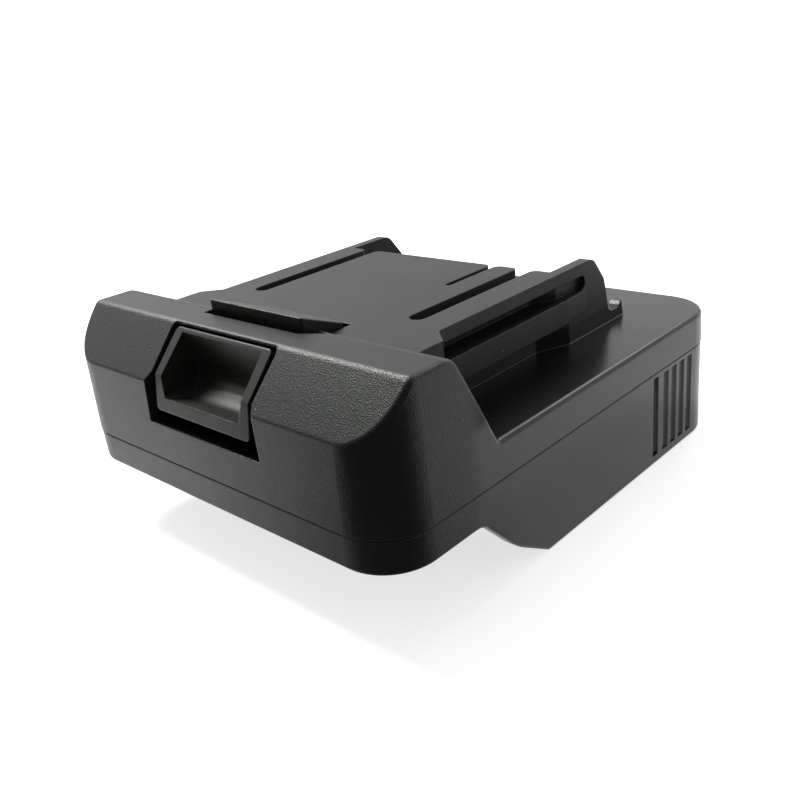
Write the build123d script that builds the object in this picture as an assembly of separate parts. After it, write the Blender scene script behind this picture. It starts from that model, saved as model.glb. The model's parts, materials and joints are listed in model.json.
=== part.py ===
from build123d import *
import itertools
import math
import os

# Tool battery adapter: a two-part black case with a sliding rail platform for the tool on top,
# an underside channel for the battery, and a sprung release latch in the front block.
# Millimetres, +Z up, front at -Y. The origin is the centre of the case's footprint, at its foot.

# Case, overall
case_width = 75.0
case_length = 90.6
skirt_depth = 12.2
seam_rise = 5.3
deck_rise = 5.9
platform_rise = 13.0
block_step = 1.9
front_corner_radius = 8.3
rear_corner_radius = 9.3
wall_draft = 1.5
wall = 2.2
seam_gap = 0.05
seam_step = 0.12
lip_gap = 0.2
lip_thickness = 1.0
lip_rise = 1.5
outer_edge_radius = 0.8
seam_chamfer = 0.2
foot_edge_radius = 0.6
overrun = 1.0
sliding_gap = 0.3
seat_gap = 0.05

# Front block
slope_run = 7.2
slope_rise = 7.7
block_top_length = 7.9
rear_slope_run = 7.6
slope_top_radius = 1.5
block_rear_radius = 3.0
deck_corner_radius = 0.8

# Rail platform
rail_half_width = 25.3
platform_length = 33.8
shoulder_half_width = 28.5
shoulder_chamfer = 2.9
rim_thickness = 2.1
groove_height = 2.5
groove_wall = 1.6
groove_fade = 4.2
groove_run_past = 7.3
groove_run_past_depth = 1.1
flange_thickness = 4.1
flange_stand = 0.9
flange_taper = 6.9
flange_end_stand = 0.25
undercut_depth = 2.6
platform_wall = 2.2
bar_end_radius = 1.2

# Ears behind the rails
ear_length = 15.0
ear_thickness = 2.1
ear_lean = 5.0
ear_knee_share = 0.3
ear_knee_drop = 4.5
ear_top_radius = 2.5
ear_foot_rise = 1.9
ear_foot_hollow = 3.2
ear_foot_hollow_radius = 1.5
ear_foot_tip = 4.3
ear_foot_tip_rise = 2.8
ear_foot_length = 5.2

# Terminal slots in the platform
main_slot_offset = 18.3
main_slot_width = 3.0
main_slot_length = 28.8
main_slot_sill = 2.0
slot_side_wall = 0.5
signal_slot_offset = 11.6
signal_slot_width = 1.2
signal_slot_length = 12.8

# Button pocket and latch window
pocket_half_width = 13.7
pocket_fold_half_width = 13.2
pocket_waist_half_width = 12.35
pocket_waist_rise = 1.2
pocket_top_half_width = 12.7
pocket_corner_radius = 1.2
pocket_rise = 11.5
pocket_sill_depth = 6.0
pocket_wall = 1.6
bridge_length = 4.4
bridge_depth = 4.0
bridge_nose = 0.6
window_length = 10.5
window_side_gap = 0.4
window_corner_side = 6.9

# Release latch: button, carriage and tongue in one moulding
button_half_width = 11.45
button_corner_radius = 0.8
button_recess = 0.35
button_slope_recess = 0.15
button_fold_run = 1.1
button_top_gap = 0.45
latch_travel = 1.95
travel_reserve = 0.45
scoop_top_half_width = 9.7
scoop_back_half_width = 9.5
scoop_fold_half_width = 9.9
scoop_lip_half_width = 8.9
scoop_corner_radius = 1.8
scoop_top_rim = 0.5
scoop_undercut = 2.0
scoop_lip = 2.2
scoop_low_share = 0.5
scoop_floor_drop = 0.9
scoop_floor_radius = 2.6
scoop_back_radius = 1.4
button_wall = 1.6
tongue_half_width = 10.8
tongue_stand = 1.9
tongue_rear_stand = 0.2
tongue_front_gap = 1.3
tongue_rear_gap = 0.3
tongue_corner_cut = 1.2
tongue_edge_radius = 0.2
bridge_gap = 0.6
carriage_overlap = 3.0
carriage_thickness = 2.6
carriage_side_gap = 0.8

# Latch springs
spring_offset = 8.0
spring_front_inset = 5.0
spring_radius = 2.7
spring_wire = 0.6
spring_turns = 6
spring_seat_rise = 6.0
spring_seat_rim = 0.5
spring_post_gap = 0.35
spring_post_rise = 3.0
spring_pin_drop = 2.0

# Underside receiver for the battery
arch_start = 18.5
arch_knee_run = 7.6
arch_knee_drop = 7.7
arch_run = 15.0
arch_top_radius = 4.0
arch_knee_radius = 14.0
arch_foot_radius = 0.8
channel_lip = 3.0
channel_lip_height = 2.5
channel_drop = 9.0
receiver_web = 2.0
receiver_reach = 3.8
receiver_lead = 2.2
receiver_end_gap = 11.0
rib_thickness = 1.4
rib_count = 4
catch_half_width = 10.0
catch_length = 5.0
catch_depth = 2.6
catch_start = 21.5
catch_wall = 1.4

# Grips at the rear sides
grip_inset = 24.0
grip_first_radius = 0.9
grip_first_bite = 0.85
grip_first_spacing = 3.6
grip_spacing = 2.9
grip_count = 4
grip_radius = 1.15
grip_bite = 0.5
grip_top_gap = 0.8
grip_foot_gap = 1.8

# Case screws
screw_radius = 1.25
screw_length = 7.4
screw_head_radius = 2.5
screw_head_height = 1.8
screw_recess = 0.5
screw_drive_radius = 0.9
drive_share = 0.6
screw_pilot_gap = 0.05
screw_hole_gap = 0.25
boss_radius = 3.3
screw_side_inset = 8.2
screw_front_inset = 8.2
screw_rear_inset = 9.3

# Circuit board and its posts
board_thickness = 1.6
board_side_gap = 0.7
board_length = 27.0
board_front = 26.6
board_height = 6.8
board_corner_radius = 1.5
board_post_radius = 2.4
board_post_offset = 11.5
board_post_inset = 2.8
board_screw_radius = 0.95
board_screw_length = 5.0
board_screw_head_radius = 1.8
board_screw_head_height = 1.1

# Contact carrier and the contacts for the tool
carrier_edge_gap = 0.3
carrier_length = 19.0
carrier_front_inset = 5.2
carrier_base = 2.0
carrier_wall = 1.4
carrier_rise = 7.6
carrier_side_gap = 0.3
clip_length = 16.0
clip_leaf = 0.7
clip_gap = 0.8
clip_height = 7.2
clip_slit = 1.0
clip_slit_length = 11.0
clip_mouth_run = 2.0
clip_mouth_spread = 0.5
clip_end_gap = 1.0
pin_width = 1.4
pin_thickness = 0.8
pin_reach = 0.9
pin_inset = 3.0
pin_gap = 0.08
signal_clip_length = 7.0
signal_clip_leaf = 0.4
signal_clip_gap = 0.5
signal_clip_height = 6.0

# Parts on the board's underside
transistor_size = (6.5, 6.1, 2.3)
transistor_tab = (5.4, 1.4, 0.5)
transistor_lead = (0.8, 2.6, 0.5)
transistor_lead_spacing = 4.6
transistor_offset = 9.5
transistor_row = 13.0
chip_size = (5.0, 4.0, 1.5)
chip_lead = (0.4, 1.0, 0.25)
chip_lead_spacing = 1.27
chip_leads_a_side = 4
chip_row = 6.5
capacitor_radius = 2.5
capacitor_height = 4.6
capacitor_base = 5.3
capacitor_base_height = 0.8
capacitor_row = 20.5
resistor_size = (1.25, 2.0, 0.55)
resistor_count = 6
resistor_spacing = 2.0
resistor_row = 15.5

# Terminal block and blades for the battery
block_side_gap = 4.0
block_length = 17.0
block_height = 8.4
block_rear_inset = 5.2
block_edge_radius = 0.8
neck_margin = 2.2
neck_inset = 2.6
neck_rise = 1.6
blade_screw_gap = 5.3
blade_thickness = 0.8
blade_height = 5.2
blade_reach = 17.0
blade_drop = 1.6
blade_nose = 0.25
blade_gap = 0.05
tail_length = 4.0
tail_inset = 5.0
tail_rise = 4.3
signal_blade_offset = 5.0
signal_blade_reach = 12.0
block_screw_inset = 3.2
block_screw_radius = 1.1
block_screw_length = 6.4
block_screw_head_radius = 2.1
block_screw_head_height = 1.4
block_screw_web = 3.0
block_boss_radius = 2.5
block_boss_rise = 2.6

# Leads from the blades to the board
lead_radius = 1.1
signal_lead_radius = 0.6
lead_drop = 2.6
lead_edge_inset = 2.6
signal_lead_side_step = 1.5
lead_run_shares = (0.25, 0.375)
lead_board_inset = 3.4
lead_bend_radius = 2.0
lead_arc_share = 0.45

# Levels and stations worked out from the sizes above
underside_z = skirt_depth
seam_z = underside_z + seam_rise
deck_z = seam_z + deck_rise
platform_z = deck_z + platform_rise
block_top_z = platform_z + block_step
crease_z = block_top_z - slope_rise
floor_z = underside_z + wall
board_z = floor_z + board_height
board_top_z = board_z + board_thickness
contact_z = board_top_z + carrier_base
sill_z = contact_z + main_slot_sill
front_y = -case_length / 2
rear_y = case_length / 2
draft_tan = math.tan(math.radians(wall_draft))
crease_y = front_y + (crease_z - seam_z) * draft_tan
slope_angle = math.atan2(slope_rise, slope_run)
slope_top_y = crease_y + slope_run
block_rear_y = slope_top_y + block_top_length
slope_foot_y = block_rear_y + rear_slope_run
waist_y = slope_foot_y + shoulder_chamfer
platform_rear_y = slope_foot_y + platform_length
flange_rear_y = platform_rear_y + groove_run_past
ear_rear_y = platform_rear_y + ear_length
pocket_lip_z = underside_z + pocket_rise
window_front_y = slope_top_y + bridge_length
window_rear_y = window_front_y + window_length
bridge_foot_z = block_top_z - bridge_depth
rim_z = platform_z - rim_thickness
groove_z = rim_z - groove_height
flange_z = groove_z - flange_thickness
inner_top_z = platform_z - platform_wall
rail_inner_half_width = main_slot_offset + main_slot_width / 2 + slot_side_wall
tongue_top_z = block_top_z + tongue_stand
tongue_rear_z = platform_z + tongue_rear_stand
window_half_width = tongue_half_width + window_side_gap
tongue_front_y = window_front_y + tongue_front_gap
tongue_rear_y = window_rear_y - tongue_rear_gap
carriage_top_z = inner_top_z - seat_gap
carriage_foot_z = carriage_top_z - carriage_thickness
button_foot_z = pocket_lip_z + latch_travel + travel_reserve
button_top_y = slope_top_y - button_top_gap
scoop_back_y = button_top_y - scoop_top_rim
scoop_deep_y = scoop_back_y + scoop_undercut
scoop_lip_z = button_foot_z + scoop_lip
spring_seat_z = floor_z + spring_seat_rise
spring_y = tongue_front_y + spring_front_inset
board_half_width = rail_inner_half_width - board_side_gap
board_front_y = front_y + board_front
board_rear_y = board_front_y + board_length
carrier_half_width = rail_inner_half_width - carrier_edge_gap
carrier_front_y = board_front_y + carrier_front_inset
carrier_rear_y = carrier_front_y + carrier_length
clip_front_y = carrier_front_y + carrier_wall + clip_end_gap
clip_rear_y = clip_front_y + clip_length
channel_half_width = case_width / 2 - wall - receiver_reach - receiver_web
receiver_front_y = front_y + arch_start + arch_run - receiver_lead
receiver_rear_y = rear_y - receiver_end_gap - wall
block_half_width = channel_half_width - channel_lip - block_side_gap
block_screw_offset = block_half_width - block_screw_inset
blade_offset = block_screw_offset - blade_screw_gap
neck_half_width = blade_offset + neck_margin
block_rear_face_y = rear_y - wall - block_rear_inset
block_front_face_y = block_rear_face_y - block_length
blade_top_z = underside_z - blade_drop
tail_rear_y = block_rear_face_y - tail_inset
tail_front_y = tail_rear_y - tail_length
tail_top_z = floor_z + neck_rise + tail_rise
lead_z = board_z - lead_drop
lead_end_y = board_rear_y - lead_board_inset
lead_end_x = board_half_width - lead_edge_inset
screw_seat_z = underside_z + screw_recess + screw_head_height
screw_tip_z = screw_seat_z + screw_length


def side_profile(points):
    """Face in the YZ plane through the given (y, z) points."""
    return Plane.YZ * make_face(Polyline(*points, close=True))


def along_x(face, half_width):
    """Extrudes a YZ face to both sides of the centre plane."""
    return extrude(face, amount=half_width, both=True)


def rounded_at(face, corners):
    """Rounds the corners of a YZ face that lie at the given (y, z, radius) points."""
    for y, z, radius in corners:
        vertex = face.vertices().sort_by_distance(Vector(0, y, z))[0]
        face = fillet(vertex, radius)
    return face


def block(x0, x1, y0, y1, z0, z1):
    """Box between two corners."""
    size = (x1 - x0, y1 - y0, z1 - z0)
    return Pos((x0 + x1) / 2, (y0 + y1) / 2, (z0 + z1) / 2) * Box(*size)


def centred_block(x, y, size, z0):
    """Box of a given size, centred in plan and standing at a level."""
    return Pos(x, y, z0 + size[2] / 2) * Box(*size)


def disc(x, y, z0, z1, radius):
    """Upright cylinder."""
    return Pos(x, y, (z0 + z1) / 2) * Cylinder(radius, z1 - z0)


def plan(points, z0, z1):
    """Upright prism on an outline of (x, y) points."""
    return extrude(Pos(0, 0, z0) * make_face(Polyline(*points, close=True)), amount=z1 - z0)


def front_prism(points, corners):
    """Prism along Y on a symmetric outline, given by its right half's (x, z) points."""
    left = [(-x, z) for x, z in reversed(points)]
    face = Plane.XZ * make_face(Polyline(*points, *left, close=True))
    for x, z, radius in corners:
        for side in (-1, 1):
            vertex = face.vertices().sort_by_distance(Vector(side * x, 0, z))[0]
            face = fillet(vertex, radius)
    return extrude(face, amount=case_length, both=True)


def both_sides(solid):
    """A solid with its mirror image across the centre plane."""
    return solid + mirror(solid, about=Plane.YZ)


def outline(inset, z):
    """The case's plan outline at a level, drawn in by an inset."""
    x = case_width / 2 - inset
    y0 = front_y + inset
    y1 = rear_y - inset
    face = make_face(Polyline((-x, y0), (x, y0), (x, y1), (-x, y1), close=True))
    front = face.vertices().sort_by(Axis.Y)[:2]
    face = fillet(front, front_corner_radius - inset)
    rear = face.vertices().sort_by(Axis.Y)[-2:]
    face = fillet(rear, rear_corner_radius - inset)
    return Pos(0, 0, z) * face


def inset_at(z):
    """How far the drafted wall has drawn in at a level above the seam."""
    return (z - seam_z) * draft_tan


def wall_distance(point, inset):
    """Distance of a point from the wall drawn in by an inset, in plan."""
    radius = (front_corner_radius if point.Y < 0 else rear_corner_radius) - inset
    dx = abs(point.X) - (case_width / 2 - inset - radius)
    dy = abs(point.Y) - (case_length / 2 - inset - radius)
    if dx > 0 and dy > 0:
        return math.hypot(dx, dy) - radius
    return max(dx, dy) - radius


def on_upper_rim(edge):
    """Whether an edge bounds the drafted outer wall above the seam."""
    for share in (0.1, 0.5, 0.9):
        point = edge @ share
        if point.Z < seam_z + seam_gap:
            return False
        if abs(wall_distance(point, inset_at(point.Z))) > seam_gap / 10:
            return False
    return True


def on_lower_rim(edge):
    """Whether an edge bounds the lower case's outer wall at its foot."""
    for share in (0.1, 0.5, 0.9):
        point = edge @ share
        if point.Z > underside_z + seam_gap:
            return False
        if abs(wall_distance(point, seam_step)) > seam_gap / 10:
            return False
    return True


def round_the_wall(edge, z, inset):
    """Whether an edge runs round the outer wall, drawn in by an inset, at a level."""
    for share in (0.1, 0.5, 0.9):
        point = edge @ share
        if abs(point.Z - z) > seam_gap / 10 or abs(wall_distance(point, inset)) > seam_gap / 10:
            return False
    return True


def slope_z(y, depth):
    """Level of the front slope at a station, sunk by a depth square to it."""
    return crease_z + (y - crease_y) * math.tan(slope_angle) - depth / math.cos(slope_angle)


def case_profile(depth, foot_z):
    """Side profile of the front block and deck, sunk inwards by a depth."""
    rear_angle = math.atan2(block_top_z - deck_z, rear_slope_run)
    top_z = block_top_z - depth
    start_y = front_y - overrun
    end_y = rear_y + overrun
    foot_shift = depth * math.tan(rear_angle / 2)
    return [
        (start_y, foot_z),
        (start_y, slope_z(start_y, depth)),
        (slope_top_y + depth * math.tan(slope_angle / 2), top_z),
        (block_rear_y - foot_shift, top_z),
        (slope_foot_y - foot_shift, deck_z - depth),
        (end_y, deck_z - depth),
        (end_y, foot_z),
    ]


def case_top():
    """Solid of the upper case's front block and deck, with its outer edges rounded."""
    face = side_profile(case_profile(0, seam_z))
    face = rounded_at(
        face,
        [
            (slope_top_y, block_top_z, slope_top_radius),
            (block_rear_y, block_top_z, block_rear_radius),
            (slope_foot_y, deck_z, deck_corner_radius),
        ],
    )
    walls = extrude(outline(0, seam_z), amount=block_top_z - seam_z + overrun, taper=wall_draft)
    solid = along_x(face, case_width) & walls
    solid = fillet([edge for edge in solid.edges() if on_upper_rim(edge)], outer_edge_radius)
    return chamfer([edge for edge in solid.edges() if round_the_wall(edge, seam_z, 0)], seam_chamfer)


def case_top_cavity():
    """Hollow inside the upper case's front block and deck."""
    start_z = seam_z - overrun
    face = side_profile(case_profile(wall, start_z))
    inner = outline(wall + inset_at(start_z), start_z)
    return along_x(face, case_width) & extrude(inner, amount=block_top_z - start_z, taper=wall_draft)


def platform():
    """Rail platform with shoulders, rims and flanges, before its grooves and slots."""
    right = [
        (shoulder_half_width, block_rear_y),
        (shoulder_half_width, slope_foot_y),
        (rail_half_width, waist_y),
        (rail_half_width, platform_rear_y),
    ]
    left = [(-x, y) for x, y in reversed(right)]
    solid = plan(right + left, deck_z - overrun, platform_z)
    root_x = rail_half_width - ear_thickness
    reach = rail_half_width + flange_stand
    flange = [
        (root_x, waist_y),
        (reach, waist_y),
        (reach, flange_rear_y - flange_taper),
        (rail_half_width + flange_end_stand, flange_rear_y),
        (root_x, flange_rear_y),
    ]
    return solid + both_sides(plan(flange, flange_z, groove_z))


def right_ear():
    """Upright ear that carries the right rail's rim on behind the platform, with a low hooked foot."""
    top_y = ear_rear_y - ear_lean
    knee = (ear_rear_y - ear_lean * ear_knee_share, platform_z - ear_knee_drop)
    front = platform_rear_y - overrun
    foot_z = deck_z - overrun
    hollow_z = deck_z + ear_foot_rise
    points = [
        (front, foot_z),
        (front, platform_z),
        (top_y, platform_z),
        knee,
        (ear_rear_y, hollow_z),
        (ear_rear_y + ear_foot_hollow, hollow_z),
        (ear_rear_y + ear_foot_tip, deck_z + ear_foot_tip_rise),
        (ear_rear_y + ear_foot_length, foot_z),
    ]
    corners = [
        (top_y, platform_z, ear_top_radius),
        (*knee, ear_top_radius),
        (ear_rear_y, hollow_z, ear_foot_hollow_radius),
        (ear_rear_y + ear_foot_hollow, hollow_z, ear_foot_hollow_radius),
    ]
    face = rounded_at(side_profile(points), corners)
    return Pos(rail_half_width - ear_thickness, 0, 0) * extrude(face, amount=ear_thickness)


def right_groove():
    """Groove under the right rim, where the tool's rail lip runs, and the undercut below the flange."""
    outer = rail_half_width + flange_stand + overrun
    deep_x = rail_inner_half_width + groove_wall
    shallow_x = rail_half_width - groove_run_past_depth
    fade_y = platform_rear_y - groove_fade
    round_y = flange_rear_y - groove_height / 2
    groove = [
        (outer, waist_y),
        (deep_x, waist_y),
        (deep_x, fade_y),
        (shallow_x, platform_rear_y),
        (shallow_x, round_y),
        (outer, round_y),
    ]
    end = Rot(0, 90, 0) * Cylinder(groove_height / 2, outer - shallow_x)
    end = Pos((shallow_x + outer) / 2, round_y, (rim_z + groove_z) / 2) * end
    cut = plan(groove, groove_z, rim_z) + end
    under_x = rail_half_width - undercut_depth
    undercut = [
        (outer, waist_y),
        (under_x, waist_y),
        (under_x, fade_y),
        (rail_half_width, platform_rear_y + groove_fade / 2),
        (outer, platform_rear_y + groove_fade / 2),
    ]
    return cut + plan(undercut, deck_z, flange_z)


def slot(x, width, length):
    """Terminal slot, closed by a round at the front and open at the rear."""
    front = platform_rear_y - length
    half = width / 2
    top = platform_z + overrun
    cut = block(x - half, x + half, front + half, platform_rear_y + overrun, sill_z, top)
    return cut + disc(x, front + half, sill_z, top, half)


def platform_cavity():
    """Hollow under the platform's top, between the rails."""
    half = rail_inner_half_width
    rear = platform_rear_y - platform_wall
    return block(-half, half, block_rear_y - overrun, rear, seam_z - overrun, inner_top_z)


def pocket_frame():
    """Cheeks, sill and bridge around the button's pocket, before the pocket is cut."""
    half = pocket_half_width + pocket_wall
    inner_y = front_y + wall / 2
    sill_foot_z = pocket_lip_z - pocket_wall
    sill = block(-half, half, inner_y, inner_y + pocket_sill_depth, sill_foot_z, pocket_lip_z)
    bridge = block(-half, half, slope_top_y, window_front_y, bridge_foot_z, block_top_z - wall / 2)
    cheek = block(pocket_waist_half_width, half, inner_y, window_front_y, sill_foot_z, block_top_z)
    envelope = along_x(side_profile(case_profile(wall / 2, seam_z)), case_width)
    return sill + (bridge + both_sides(cheek)) & envelope


def pocket():
    """Opening in the front block for the release button."""
    top_z = block_top_z + overrun
    points = [
        (front_y - overrun, pocket_lip_z),
        (front_y - overrun, top_z),
        (slope_top_y, top_z),
        (slope_top_y, block_top_z - bridge_nose),
        (window_front_y, bridge_foot_z),
        (window_front_y, pocket_lip_z),
    ]
    half = [
        (pocket_half_width, pocket_lip_z - overrun),
        (pocket_fold_half_width, crease_z),
        (pocket_waist_half_width, crease_z + pocket_waist_rise),
        (pocket_top_half_width, block_top_z),
    ]
    front = front_prism(half, [(pocket_top_half_width, block_top_z, pocket_corner_radius)])
    return along_x(side_profile(points), pocket_half_width) & front


def window():
    """Opening in the block's top and the platform for the latch tongue, flared on the right."""
    half = window_half_width
    cut = block(-half, half, window_front_y, window_rear_y, inner_top_z - overrun, block_top_z + overrun)
    flare = [
        (-half, window_front_y),
        (half, window_front_y),
        (half + window_corner_side, block_rear_y),
        (-half, block_rear_y),
    ]
    return cut + plan(flare, platform_z, block_top_z + overrun)


def screw_places():
    """Centres of the four case screws."""
    x = case_width / 2 - screw_side_inset
    rows = (front_y + screw_front_inset, rear_y - screw_rear_inset)
    return [(side * x, y) for y in rows for side in (-1, 1)]


def upper_boss(x, y):
    """Screw boss that hangs inside the upper case."""
    slope_ceiling = slope_z(y - boss_radius, wall / 2)
    ceiling = min(block_top_z - wall / 2, slope_ceiling) if y < 0 else deck_z - wall / 2
    return disc(x, y, seam_z + seam_gap, ceiling, boss_radius)


def at_bar_end(edge):
    """Whether an upright edge is at the rear end of a bar between the terminal slots."""
    point = edge @ 0.5
    inside = abs(point.X) < rail_half_width - ear_thickness
    return inside and abs(point.Y - platform_rear_y) < seam_gap and point.Z > sill_z


def upper_shell():
    """Upper half of the case."""
    solid = case_top() - case_top_cavity()
    solid = solid + platform() + both_sides(right_ear())
    solid = solid - platform_cavity() - case_top_cavity()
    solid = solid - both_sides(right_groove())
    for x in (-main_slot_offset, main_slot_offset):
        solid = solid - slot(x, main_slot_width, main_slot_length)
    solid = solid - slot(signal_slot_offset, signal_slot_width, signal_slot_length)
    solid = fillet([edge for edge in solid.edges().filter_by(Axis.Z) if at_bar_end(edge)], bar_end_radius)
    solid = (solid + pocket_frame()) - pocket() - window()
    for x, y in screw_places():
        solid = solid + upper_boss(x, y)
    pilot = screw_radius + screw_pilot_gap
    for x, y in screw_places():
        solid = solid - disc(x, y, seam_z - overrun, screw_tip_z + seat_gap, pilot)
    return solid


def arch_profile():
    """Side profile of the space under the front block and under the skirts."""
    start_y = front_y + arch_start
    knee = (start_y + arch_knee_run, underside_z - arch_knee_drop)
    foot_y = start_y + arch_run
    points = [
        (front_y - overrun, underside_z),
        (start_y, underside_z),
        knee,
        (foot_y, 0),
        (rear_y + overrun, 0),
        (rear_y + overrun, -2 * overrun),
        (front_y - overrun, -2 * overrun),
    ]
    corners = [
        (start_y, underside_z, arch_top_radius),
        (*knee, arch_knee_radius),
        (foot_y, 0, arch_foot_radius),
    ]
    return rounded_at(side_profile(points), corners)


def grips():
    """Upright grooves at the rear of both sides."""
    z0 = grip_foot_gap
    z1 = seam_z - grip_top_gap
    start_y = rear_y - grip_inset
    x = case_width / 2 - seam_step
    cut = disc(x + grip_first_radius - grip_first_bite, start_y, z0, z1, grip_first_radius)
    for index in range(grip_count):
        y = start_y + grip_first_spacing + index * grip_spacing
        cut = cut + disc(corner_x(y) + grip_radius - grip_bite, y, z0, z1, grip_radius)
    return both_sides(cut)


def corner_x(y):
    """Half width of the lower case at a station, following the rear corner."""
    radius = rear_corner_radius - seam_step
    past = max(y - (rear_y - rear_corner_radius), 0)
    return case_width / 2 - seam_step - radius + math.sqrt(radius**2 - past**2)


def receiver():
    """Rails under the plate that carry the battery, with ribs to the skirts."""
    foot_z = underside_z - channel_drop
    web_x = channel_half_width + receiver_web
    web = block(channel_half_width, web_x, receiver_front_y, receiver_rear_y, foot_z, underside_z)
    lip_top_z = foot_z + channel_lip_height
    lip_x = channel_half_width - channel_lip
    web = web + block(lip_x, channel_half_width, receiver_front_y, receiver_rear_y, foot_z, lip_top_z)
    pitch = (receiver_rear_y - receiver_front_y) / rib_count
    skirt_x = case_width / 2 - wall
    for index in range(rib_count):
        y = receiver_front_y + pitch * (index + 0.5)
        web = web + block(web_x, skirt_x, y, y + rib_thickness, lip_top_z, underside_z)
    return both_sides(web)


def lower_shell():
    """Lower half of the case, with skirts, receiver rails and inner posts."""
    top_z = seam_z - seam_gap
    body = extrude(outline(seam_step, -overrun), amount=top_z + overrun)
    body = body - along_x(arch_profile(), case_width)
    body = fillet([edge for edge in body.edges() if on_lower_rim(edge)], foot_edge_radius)
    body = chamfer([edge for edge in body.edges() if round_the_wall(edge, top_z, seam_step)], seam_chamfer)
    body = body - extrude(outline(wall, floor_z), amount=seam_z)
    under = extrude(outline(wall, -overrun), amount=underside_z + overrun)
    arch_y = front_y + arch_start
    body = body - (under & block(-case_width, case_width, arch_y, rear_y, -overrun, underside_z))
    lip = extrude(outline(wall + lip_gap, floor_z), amount=top_z + lip_rise - floor_z)
    body = body + (lip - extrude(outline(wall + lip_gap + lip_thickness, floor_z), amount=seam_z))
    body = body + receiver() - grips()
    neck_y = (block_front_face_y + neck_inset - sliding_gap, block_rear_face_y - neck_inset + sliding_gap)
    neck_x = neck_half_width + sliding_gap
    body = body - block(-neck_x, neck_x, *neck_y, underside_z - overrun, floor_z + overrun)
    body = body + catch_recess() + inner_posts()
    catch_y = front_y + catch_start
    catch_z = underside_z + catch_depth
    body = body - block(
        -catch_half_width, catch_half_width, catch_y, catch_y + catch_length, underside_z - overrun, catch_z
    )
    for x, y in screw_places():
        body = body + disc(x, y, floor_z - wall / 2, top_z, boss_radius)
    for x, y in screw_places():
        body = body - disc(x, y, 0, screw_seat_z, screw_head_radius + screw_hole_gap)
        body = body - disc(x, y, 0, seam_z, screw_radius + screw_hole_gap)
    return body


def catch_recess():
    """Raised box over the recess that the battery's own catch snaps into."""
    half = catch_half_width + catch_wall
    y0 = front_y + catch_start - catch_wall
    y1 = y0 + catch_length + 2 * catch_wall
    return block(-half, half, y0, y1, floor_z - wall / 2, underside_z + catch_depth + catch_wall)


def inner_posts():
    """Posts for the board, its screws, the springs and the terminal block's screws."""
    root_z = floor_z - wall / 2
    posts = []
    for side in (-1, 1):
        x = side * board_post_offset
        for y in (board_front_y + board_post_inset, board_rear_y - board_post_inset):
            posts.append(disc(x, y, root_z, board_z, board_post_radius))
        seat_radius = spring_radius + spring_wire / 2 + spring_seat_rim
        posts.append(disc(side * spring_offset, spring_y, root_z, spring_seat_z, seat_radius))
        pin_radius = spring_radius - spring_wire / 2 - spring_post_gap
        pin_top_z = spring_seat_z + spring_post_rise
        posts.append(disc(side * spring_offset, spring_y, spring_seat_z - seat_gap, pin_top_z, pin_radius))
        boss_y = (block_front_face_y + block_rear_face_y) / 2
        boss_top_z = floor_z + block_boss_rise
        posts.append(disc(side * block_screw_offset, boss_y, root_z, boss_top_z, block_boss_radius))
    solid = posts[0]
    for post in posts[1:]:
        solid = solid + post
    for x, y in board_screw_places():
        tip_z = board_top_z - board_screw_length - seat_gap
        solid = solid - disc(x, y, tip_z, board_top_z, board_screw_radius + screw_pilot_gap)
    return solid


def bored_lower_shell():
    """Lower case with the pilot holes for the terminal block's screws."""
    solid = lower_shell()
    for x, y in block_screw_places():
        tip_z = block_screw_seat_z() + block_screw_length + seat_gap
        solid = solid - disc(x, y, underside_z - seat_gap, tip_z, block_screw_radius + screw_pilot_gap)
    return solid


def board_screw_places():
    """Centres of the two board screws."""
    return [(side * board_post_offset, board_front_y + board_post_inset) for side in (-1, 1)]


def block_screw_places():
    """Centres of the terminal block's two screws."""
    y = (block_front_face_y + block_rear_face_y) / 2
    return [(side * block_screw_offset, y) for side in (-1, 1)]


def block_screw_seat_z():
    """Level of the screw heads' seats inside the terminal block."""
    return underside_z - seat_gap - block_screw_web


def scoop():
    """Finger hollow in the release button."""
    top_z = slope_z(scoop_back_y, button_slope_recess)
    low_y = crease_y + (scoop_deep_y - crease_y) * scoop_low_share
    low_z = scoop_lip_z - scoop_floor_drop
    high_z = scoop_lip_z + scoop_floor_drop
    points = [
        (front_y - overrun, scoop_lip_z),
        (crease_y + button_recess, scoop_lip_z),
        (low_y, low_z),
        (scoop_deep_y, high_z),
        (scoop_back_y, top_z),
        (scoop_back_y, top_z + overrun),
        (front_y - overrun, top_z + overrun),
    ]
    corners = [(low_y, low_z, scoop_floor_radius), (scoop_deep_y, high_z, scoop_floor_radius)]
    face = rounded_at(side_profile(points), corners)
    half = [
        (scoop_lip_half_width, low_z),
        (scoop_fold_half_width, crease_z + button_fold_run),
        (scoop_top_half_width, top_z + overrun),
    ]
    front = front_prism(half, [(scoop_lip_half_width, low_z, scoop_corner_radius)])
    right = [
        (scoop_fold_half_width, front_y - overrun),
        (scoop_fold_half_width, crease_y),
        (scoop_back_half_width, scoop_deep_y),
    ]
    left = [(-x, y) for x, y in reversed(right)]
    over = plan(right + left, low_z, top_z + overrun)
    back = over.edges().filter_by(Axis.Z).group_by(Axis.Y)[-1]
    return along_x(face, button_half_width) & front & fillet(back, scoop_back_radius)


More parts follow.
